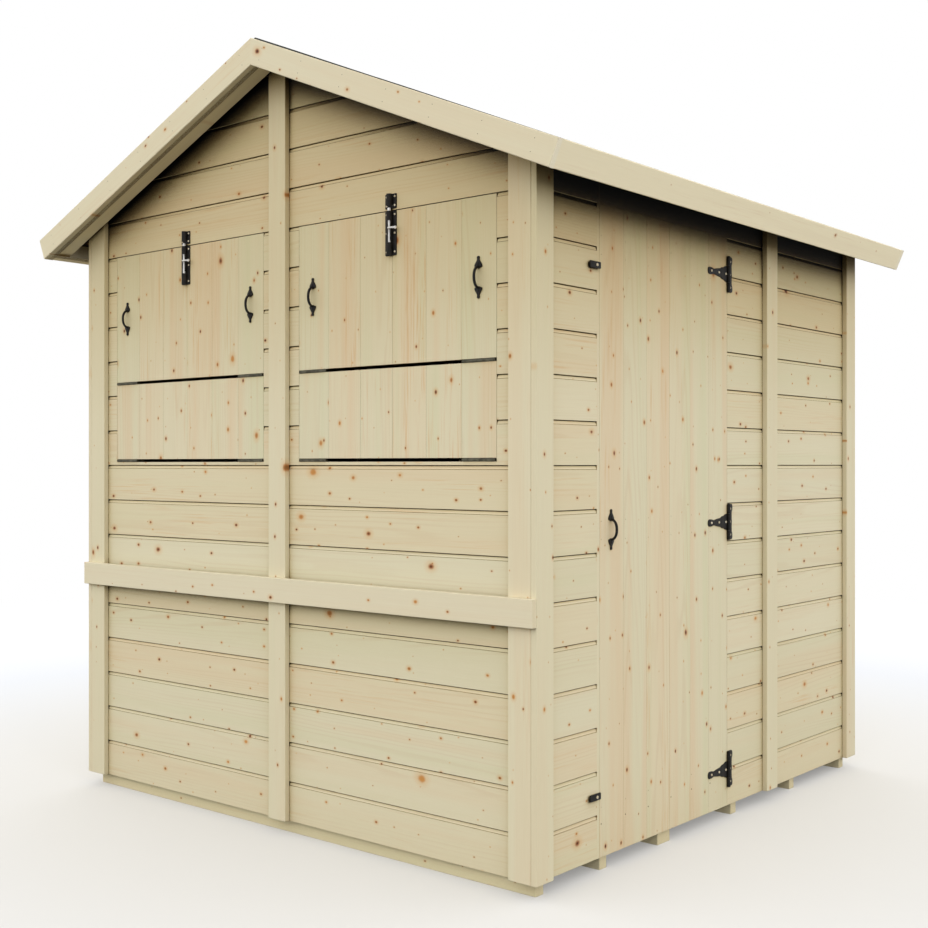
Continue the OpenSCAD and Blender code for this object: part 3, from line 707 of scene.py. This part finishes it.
def facing(origin, right, up):
    """Local x to the right, y up and z out of the surface, at origin."""
    out = right.cross(up)
    return Matrix.Translation(origin) @ Matrix((right, up, out)).transposed().to_4x4()


def rounded(half_w, half_h, r, steps=4):
    """Rounded rectangle outline, counter-clockwise, round the origin."""
    points = []
    for cx, cy, turn in ((1, -1, -90), (1, 1, 0), (-1, 1, 90), (-1, -1, 180)):
        for i in range(steps + 1):
            t = math.radians(turn + 90 * i / steps)
            points.append((cx * (half_w - r) + r * math.cos(t), cy * (half_h - r) + r * math.sin(t)))
    return points


def smooth_line(points, steps):
    """Catmull-Rom points through a list of points."""
    line = []
    for i in range(len(points) - 1):
        p = [Vector(points[max(0, min(len(points) - 1, j))]) for j in range(i - 1, i + 3)]
        for k in range(steps):
            t = k / steps
            line.append(0.5 * ((2 * p[1]) + (p[2] - p[0]) * t + (2 * p[0] - 5 * p[1] + 4 * p[2] - p[3]) * t * t
                               + (3 * p[1] - p[0] - 3 * p[2] + p[3]) * t ** 3))
    return line + [Vector(points[-1])]


SPEAR = [(3.6, 23), (6.0, 24.6), (10.6, 25.6), (12.0, 27.6), (11.6, 31.0), (9.6, 34.6), (6.4, 39.0), (4.0, 42.8),
         (3.4, 45.4), (4.2, 48.2), (3.8, 50.6), (1.8, 52.8)]


def bow_handle(metal, place):
    """Bow between two spear-ended feet; local y runs along it and z stands out from the surface."""
    half = [(x * MM, y * MM) for x, y in smooth_line(SPEAR, 3)]
    for end in (1, -1):
        outline = [(end * x, end * y) for x, y in half + [(-x, y) for x, y in reversed(half)]]
        metal.plate(place, outline, 3.6 * MM, 1.3 * MM)
        metal.lathe(place @ Matrix.Translation((0, end * 34 * MM, 3.4 * MM)),
                    [(3.8 * MM, 0), (3.4 * MM, 1.0 * MM), (1.8 * MM, 1.8 * MM), (0.4 * MM, 2.0 * MM)], 14)
    path, steps = [], 26
    for i in range(steps + 1):
        t = math.pi * i / steps
        rise = max(0.0, math.sin(t))
        path.append((26 * MM * math.copysign(abs(math.cos(t)) ** 0.9, math.cos(t)), (2 + 17 * rise) * MM,
                     (3.8 - 0.6 * (1 - rise)) * MM, 3.5 * MM))
    rings = []
    for i, (y, z, wide, thick) in enumerate(path):
        before, after = path[max(0, i - 1)], path[min(steps, i + 1)]
        turn = math.atan2(after[1] - before[1], after[0] - before[0])
        dy, dz = -thick * math.sin(turn), thick * math.cos(turn)
        rings.append([place @ Vector((wide * math.cos(a), y + dy * math.sin(a), z + dz * math.sin(a)))
                      for a in (2 * math.pi * j / 14 for j in range(14))])
    metal.rings(rings)


UP_DOOR, UP_FRONT = (Y, Z), (X, Z)  # to the right and up on each wall, seen from outside
pull_low, pull_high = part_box("door_handle")
pull = Metal()
bow_handle(pull, facing(Vector((side_x, (pull_low.y + pull_high.y) / 2, (pull_low.z + pull_high.z) / 2)), *UP_DOOR))
pull.piece("door_pull", "door_leaf", "black_iron", IRON, ["door_handle"])
FOOT_HALF = 8.5 * MM  # half the width of a handle's foot in the CAD
for hand in ("left", "right"):
    low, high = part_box(f"{hand}_flap_handles")
    pulls = Metal()
    for x in (low.x + FOOT_HALF, high.x - FOOT_HALF):
        bow_handle(pulls, facing(Vector((x, front_y, (low.z + high.z) / 2)), *UP_FRONT))
    pulls.piece(f"{hand}_flap_pulls", f"{hand}_shutter", "black_iron", IRON, [f"{hand}_flap_handles"])

# T-hinges of the door
strap_low, strap_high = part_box("door_hinge_straps")
plate_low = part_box("door_hinge_plates")[0]
PIN_R = 5 * MM  # of the hinge's knuckles
pin_x, pin_y = strap_high.x - PIN_R, strap_high.y - PIN_R
# upper halves of the outlines in mm, as (right, up): the strap from its tip, the wall plate from its pin
STRAP = [(0.0, 3.0), (1.2, 6.2), (4.0, 9.0), (9.0, 10.2), (15.0, 10.4), (21.0, 10.0), (26.5, 8.8), (31, 7.6),
         (35, 7.4), (41, 8.4), (48, 9.8), (56, 11.0), (63, 11.8), (68, 12.2), (72, 12.6), (76, 14.4), (81, 16.8),
         (86, 17.6), (90, 17.8), (94, 18.8), (98, 21.0), (103, 22.6), (108, 23.2), (113.5, 23.4)]
PLATE_EDGE = [(0, 52.5), (18, 52.5), (22.5, 51.6), (25.6, 48.6), (26.6, 44), (26.4, 38.6), (25.4, 34), (23.2, 30),
              (22.2, 24), (22.2, 12), (22.6, 6), (23.6, 0)]
straps, plates, door_screws, wall_screws = Metal(), Metal(), Metal(), Metal()
tip_y = strap_low.y
for z in tee_z:
    at = facing(Vector((side_x, tip_y, z)), *UP_DOOR)
    side_line = [(p.x * MM, p.y * MM) for p in smooth_line(STRAP, 2)]
    straps.plate(at, [(x, -y) for x, y in side_line] + side_line[::-1], 2.6 * MM, 0.7 * MM)
    pin = Matrix.Translation((pin_x, pin_y, z))
    r = PIN_R
    for low, high, metal in ((-24.5, 24.5, straps), (-52.5, -25.2, plates), (25.2, 52.5, plates)):
        metal.lathe(pin, [(r - 1.2 * MM, low * MM), (r - 0.3 * MM, (low + 0.3) * MM), (r, (low + 1.2) * MM),
                          (r, (high - 1.2) * MM), (r - 0.3 * MM, (high - 0.3) * MM), (r - 1.2 * MM, high * MM)], 24)
    for end in (-1, 1):  # pin head
        cap = pin @ Matrix.Translation((0, 0, end * 52.5 * MM)) @ Matrix.Scale(end, 4, Z)
        plates.lathe(cap, [(3.2 * MM, -0.5 * MM), (3.1 * MM, 0.6 * MM), (2 * MM, 1.3 * MM), (0.4 * MM, 1.6 * MM)], 16)
    for along in (18.7, 62.7, 103.3):  # screws from the strap's tip
        door_screws.screw(facing(Vector((side_x + 2.5 * MM, tip_y + along * MM, z)), *UP_DOOR), 3.6 * MM)
    at = facing(Vector((side_x, plate_low.y + 5.9 * MM, z)), *UP_DOOR)
    right_line = [(p.x * MM, p.y * MM) for p in smooth_line(PLATE_EDGE, 2)]
    outline = [(x, -y) for x, y in right_line] + right_line[-2::-1]
    plates.plate(at, outline, 2.8 * MM, 0.7 * MM)
    for up in (-38.6, 0, 38.6):
        wall_screws.screw(facing(Vector((side_x + 2.7 * MM, plate_low.y + (18.5 if up else 17) * MM, z + up * MM)),
                                 *UP_DOOR), 3.4 * MM)
straps.piece("tee_hinge_straps", "door_leaf", "black_iron", IRON, ["door_hinge_straps"])
plates.piece("tee_hinge_plates", "shed", "black_iron", IRON, ["door_hinge_plates"])
door_screws.piece("door_screws", "door_leaf", "zinc_plated_steel", SCREW)

# turn buttons
posts = Metal()
button_t = 3.5 * MM
post_low, post_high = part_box("turn_button_posts")
button_y = (post_low.y + post_high.y) / 2
button_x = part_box("upper_turn_button")[0].x
stand = button_x - side_x
for z, body in zip(button_z, ("lower_button", "upper_button")):
    low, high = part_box(body.split("_")[0] + "_turn_button")
    posts.lathe(Matrix.Translation((side_x, button_y, z)) @ Matrix.Rotation(math.pi / 2, 4, "Y"),
                [(6 * MM, 0), (6 * MM, stand - 0.7 * MM), (5.4 * MM, stand - 0.3 * MM), (3 * MM, stand - 0.3 * MM),
                 (3 * MM, stand + button_t + 0.3 * MM)], 20)
    wall_screws.screw(facing(Vector((button_x + button_t + 0.3 * MM, button_y, z)), *UP_DOOR), 4.2 * MM)
    metal = Metal()
    half_h, c = (high.z - low.z) / 2, 1.6 * MM
    y0, y1 = low.y - button_y, high.y - button_y
    outline = [(y0 + c, -half_h), (y1 - c, -half_h), (y1, c - half_h), (y1, half_h - c), (y1 - c, half_h),
               (y0 + c, half_h), (y0, half_h - c), (y0, c - half_h)]
    metal.plate(facing(Vector((button_x, button_y, z)), *UP_DOOR), outline, button_t, 0.5 * MM)
    metal.piece(body + "_plate", body, "black_iron", IRON, [body.split("_")[0] + "_turn_button"])
posts.piece("button_posts", "shed", "black_iron", IRON, ["turn_button_posts"])

# butt hinges of the flaps: knuckles on the pin and a leaf under them
HINGE_LEN = 107 * MM


def butt_hinges(metal, low, high):
    """A hinge at each end of the box from low to high."""
    pin_z = high.z - 4 * MM if high.z - low.z > 8 * MM else (low.z + high.z) / 2
    for x in (low.x, high.x - HINGE_LEN):
        edges = [x + HINGE_LEN * i / 5 for i in range(6)]
        for i, (x0, x1) in enumerate(zip(edges, edges[1:])):
            r, e = 4 * MM, 0.5 * MM
            metal.lathe(Matrix.Translation((0, front_y, pin_z)) @ Matrix.Rotation(math.pi / 2, 4, "Y"),
                        [(r - e, x0 + 0.2 * MM), (r, x0 + 0.2 * MM + e), (r, x1 - 0.2 * MM - e),
                         (r - e, x1 - 0.2 * MM)], 20)
        metal.plate(facing(Vector((x + HINGE_LEN / 2, front_y + 5.5 * MM, low.z)), X, Y),
                    rounded(HINGE_LEN / 2, 5.5 * MM, 1.5 * MM), 1.8 * MM, 0.4 * MM)


for node, body in (("sill_hinges", "shed"), ("left_flap_hinges", "left_counter"),
                   ("right_flap_hinges", "right_counter")):
    low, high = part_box(node)
    hinges = Metal()
    if node == "sill_hinges":
        for hand in ("left", "right"):
            one_low, one_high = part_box(f"{hand}_flap_hinges")
            butt_hinges(hinges, Vector((one_low.x, low.y, low.z)), Vector((one_high.x, high.y, high.z)))
    else:
        butt_hinges(hinges, low, high)
    hinges.piece(node + "_steel", body, "zinc_plated_steel", DULL_ZINC, [node])


# tower bolts


def barrel(metal, place, z0, z1, slot=None):
    """Half-round case over the bar. The slot is (middle and half width in degrees, bottom, top), with a locking
    notch to the right at its foot."""
    r, wall, steps, centre = 8.5 * MM, 1.6 * MM, 24, 7 * MM
    notch_h, notch_turn = 6 * MM, 26
    angles = [math.radians(-100 + 200 * i / steps) for i in range(steps + 1)]
    heights = [z0, z1] if slot is None else [z0, slot[2], slot[2] + notch_h, slot[3], z1]
    grids = [[[metal.bm.verts.new(place @ Vector((rad * math.sin(a), z, centre + rad * math.cos(a)))) for a in angles]
              for z in heights] for rad in (r, r - wall)]
    gone = set()
    if slot is not None:
        gone = {(j, i) for j, extra in ((1, notch_turn), (2, 0)) for i in range(steps)
                if -slot[1] < math.degrees(angles[i] + angles[i + 1]) / 2 - slot[0] < slot[1] + extra}
    here = {(j, i) for j in range(len(heights) - 1) for i in range(steps)} - gone
    for j, i in here:
        for g, grid in enumerate(grids):
            quad = [grid[j][i], grid[j][i + 1], grid[j + 1][i + 1], grid[j + 1][i]]
            metal.bm.faces.new(quad if g == 0 else quad[::-1])
        for dj, di, a, b in ((-1, 0, (0, 0), (0, 1)), (1, 0, (1, 1), (1, 0)),
                             (0, -1, (1, 0), (0, 0)), (0, 1, (0, 1), (1, 1))):
            if (j + dj, i + di) not in here:
                rim = [[grid[j + cj][i + ci] for cj, ci in (a, b)] for grid in grids]
                metal.bm.faces.new((rim[0][0], rim[1][0], rim[1][1], rim[0][1]))
    loose = [v for v in metal.bm.verts if not v.link_faces]
    bmesh.ops.delete(metal.bm, geom=loose, context="VERTS")


def bent_arm(metal, place, points, r):
    """Round bar through points in the plane of local x and z, with a ball at its end."""
    line = smooth_line(points, 5)
    rings = []
    for i, p in enumerate(line):
        before, after = line[max(0, i - 1)], line[min(len(line) - 1, i + 1)]
        ahead = (after - before).normalized()
        rings.append([place @ Vector((p.x + ahead.y * r * math.cos(a), r * math.sin(a),
                                      p.y - ahead.x * r * math.cos(a)))
                      for a in (2 * math.pi * j / 12 for j in range(12))])
    metal.rings(rings)
    end = place @ Matrix.Translation((line[-1].x, 0, line[-1].y)) @ Matrix.Rotation(math.radians(115), 4, "Y")
    metal.lathe(end, [(4.4 * MM * math.sin(math.radians(t)), -4.4 * MM * math.cos(math.radians(t)))
                      for t in (12, 30, 50, 70, 90, 110, 130, 150, 168)], 16)


BAR_OUT = 8.5 * MM  # the bar's axis before the flap
SLOT = (30, 27, 0.033, 0.092)  # middle, half width in degrees, and ends above the case's bottom
ARM = [(0, 0), (3.6, 6), (7.2, 10.6), (12.5, 11.6), (18.5, 8.0), (25, 3.4)]  # from the bar's axis: right, out
ARM_DROP = 0.055  # from the bar's tip down to its arm
BASE_T, BASE_SCREW, BASE_SCREW_X = 2.4 * MM, 2.9 * MM, 14.5 * MM  # base plates of case and keeper
keepers = Metal()
for hand in ("left", "right"):
    low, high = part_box(f"{hand}_bolt_case")
    mid_x, bottom, top = (low.x + high.x) / 2, low.z, high.z
    bar_low, bar_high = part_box(f"{hand}_bolt_bar")
    bar_y, tip_z = front_y - BAR_OUT, bar_high.z
    at = facing(Vector((mid_x, front_y, 0)), *UP_FRONT)
    case = Metal()
    case.plate(at @ Matrix.Translation((0, (bottom + top) / 2, 0)),
               rounded(20 * MM, (top - bottom) / 2, 2.5 * MM), BASE_T)
    barrel(case, at, bottom + 1 * MM, top - 1 * MM, (SLOT[0], SLOT[1], bottom + SLOT[2], bottom + SLOT[3]))
    case.piece(f"{hand}_bolt_housing", f"{hand}_shutter", "black_iron", IRON, [f"{hand}_bolt_case"], 50)
    screws = Metal()
    for x in (-BASE_SCREW_X, BASE_SCREW_X):
        for share in (0.08, 0.5, 0.92):
            screws.screw(at @ Matrix.Translation((x, bottom + (top - bottom) * share, 2.3 * MM)), BASE_SCREW)
    screws.piece(f"{hand}_bolt_screws", f"{hand}_shutter", "zinc_plated_steel", SCREW)
    bar = Metal()
    r = 4.5 * MM
    bar.lathe(Matrix.Translation((mid_x, bar_y, 0)),
              [(r - 1 * MM, bar_low.z), (r, bar_low.z + 1 * MM), (r, tip_z - 2.4 * MM),
               (r - 0.8 * MM, tip_z - 0.7 * MM), (r - 2 * MM, tip_z)], 24)
    bent_arm(bar, facing(Vector((mid_x, bar_y, tip_z - ARM_DROP)), *UP_FRONT),
             [(x * MM, z * MM) for x, z in ARM], 2.6 * MM)
    bar.piece(f"{hand}_bolt_rod", f"{hand}_bolt", "zinc_plated_steel", ZINC, [f"{hand}_bolt_bar"])
    low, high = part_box("bolt_keepers")
    plate_z = low.z - 7 * MM
    keepers.plate(at @ Matrix.Translation((0, (plate_z + high.z) / 2, 0)),
                  rounded(20 * MM, (high.z - plate_z) / 2, 2.5 * MM), BASE_T)
    barrel(keepers, at, low.z, high.z - 1 * MM)
    for x in (-BASE_SCREW_X, BASE_SCREW_X):
        for share in (0.2, 0.8):
            z = plate_z + (high.z - plate_z) * share
            wall_screws.screw(at @ Matrix.Translation((x, z, 2.3 * MM)), BASE_SCREW)
keepers.piece("bolt_staples", "shed", "black_iron", IRON, ["bolt_keepers"], 50)
wall_screws.piece("wall_screws", "shed", "zinc_plated_steel", SCREW)

# ---- nails ----


def nails(name, body, spots, r):
    """Sunk nail heads: (place, outward direction)."""
    metal = Metal()
    for spot, out in spots:
        turn = out.to_track_quat("Z", "Y").to_matrix().to_4x4()
        metal.lathe(Matrix.Translation(spot) @ turn, [(r, -0.6 * MM), (r, 0.15 * MM), (0.6 * r, 0.35 * MM)], 9)
    metal.piece(name, body, "zinc_plated_steel", NAIL)


upper_rows = [tee_z[0] + 0.022] + [z + d for z in tee_z[1:] for d in (-0.025, 0.025)]
for name, heights, r in (("door_nails", [tee_z[0] - 0.022], 1.9 * MM), ("door_upper_nails", upper_rows, 1.0 * MM)):
    nails(name, "door_leaf",
          [(Vector((side_x, door_low.y + (sum(DOOR_BOARDS[:i]) + 8) * MM, z + rng.uniform(-2, 2) * MM)), X)
           for z in heights for i in range(6)], r)
spots = []
for side in (-1, 1):
    for y, out in ((-roof_y, -Y), (roof_y, Y)):
        for i in range(7):  # pairs of nails down each bargeboard
            s = 0.06 + i * 0.17
            for d in (0.018, 0.050):
                spots.append((Vector((side * (s * math.cos(PITCH) - d * math.sin(PITCH)), y,
                                      ridge_z - s * math.sin(PITCH) - d * math.cos(PITCH))), out))
nails("bargeboard_nails", "shed", spots, 1.1 * MM)

# ---- stage, light and camera ----

RING, ZENITH = 2.09, 0.8  # strength of the soft light all round, and overhead

mesh = bpy.data.meshes.new("studio_floor")
far = 60.0
mesh.from_pydata([(-far, -far, 0), (far, -far, 0), (far, far, 0), (-far, far, 0)], [], [(0, 1, 2, 3)])
ground = bpy.data.objects.new("studio_floor", mesh)
mesh.materials.append(floor_look())
bpy.context.scene.collection.objects.link(ground)

world = bpy.data.worlds.new("studio")
bpy.context.scene.world = world
world.use_nodes = True
tree = world.node_tree
sky = tree.nodes["Background"]
sky.inputs["Color"].default_value = (1.0, 1.0, 1.0, 1.0)
rays = tree.nodes.new("ShaderNodeLightPath")
seen = rays.outputs["Is Camera Ray"]
for kind in ("Is Glossy Ray", "Is Transmission Ray"):
    either = tree.nodes.new("ShaderNodeMath")
    either.operation = "MAXIMUM"
    tree.links.new(seen, either.inputs[0])
    tree.links.new(rays.outputs[kind], either.inputs[1])
    seen = either.outputs[0]
toward = tree.nodes.new("ShaderNodeTexCoord")
height = tree.nodes.new("ShaderNodeSeparateXYZ")
tree.links.new(toward.outputs["Generated"], height.inputs[0])
ring = tree.nodes.new("ShaderNodeMapRange")
ring.interpolation_type = "SMOOTHSTEP"
for key, value in (("From Min", 0.55), ("From Max", 0.92), ("To Min", RING), ("To Max", ZENITH)):
    ring.inputs[key].default_value = value
tree.links.new(height.outputs["Z"], ring.inputs["Value"])
level = tree.nodes.new("ShaderNodeMix")
tree.links.new(seen, level.inputs[0])
tree.links.new(ring.outputs[0], level.inputs[2])
level.inputs[3].default_value = 1.0
tree.links.new(level.outputs[0], sky.inputs["Strength"])

camera = bpy.data.cameras.new("camera")
camera.lens, camera.sensor_width = 50.31, 36.0
eye = bpy.data.objects.new("camera", camera)
eye.location = (2.774, -3.405, 1.049)
eye.rotation_euler = (math.pi / 2, 0, math.radians(39.97))
bpy.context.scene.collection.objects.link(eye)
bpy.context.scene.camera = eye
bpy.context.scene.view_settings.view_transform = "Standard"
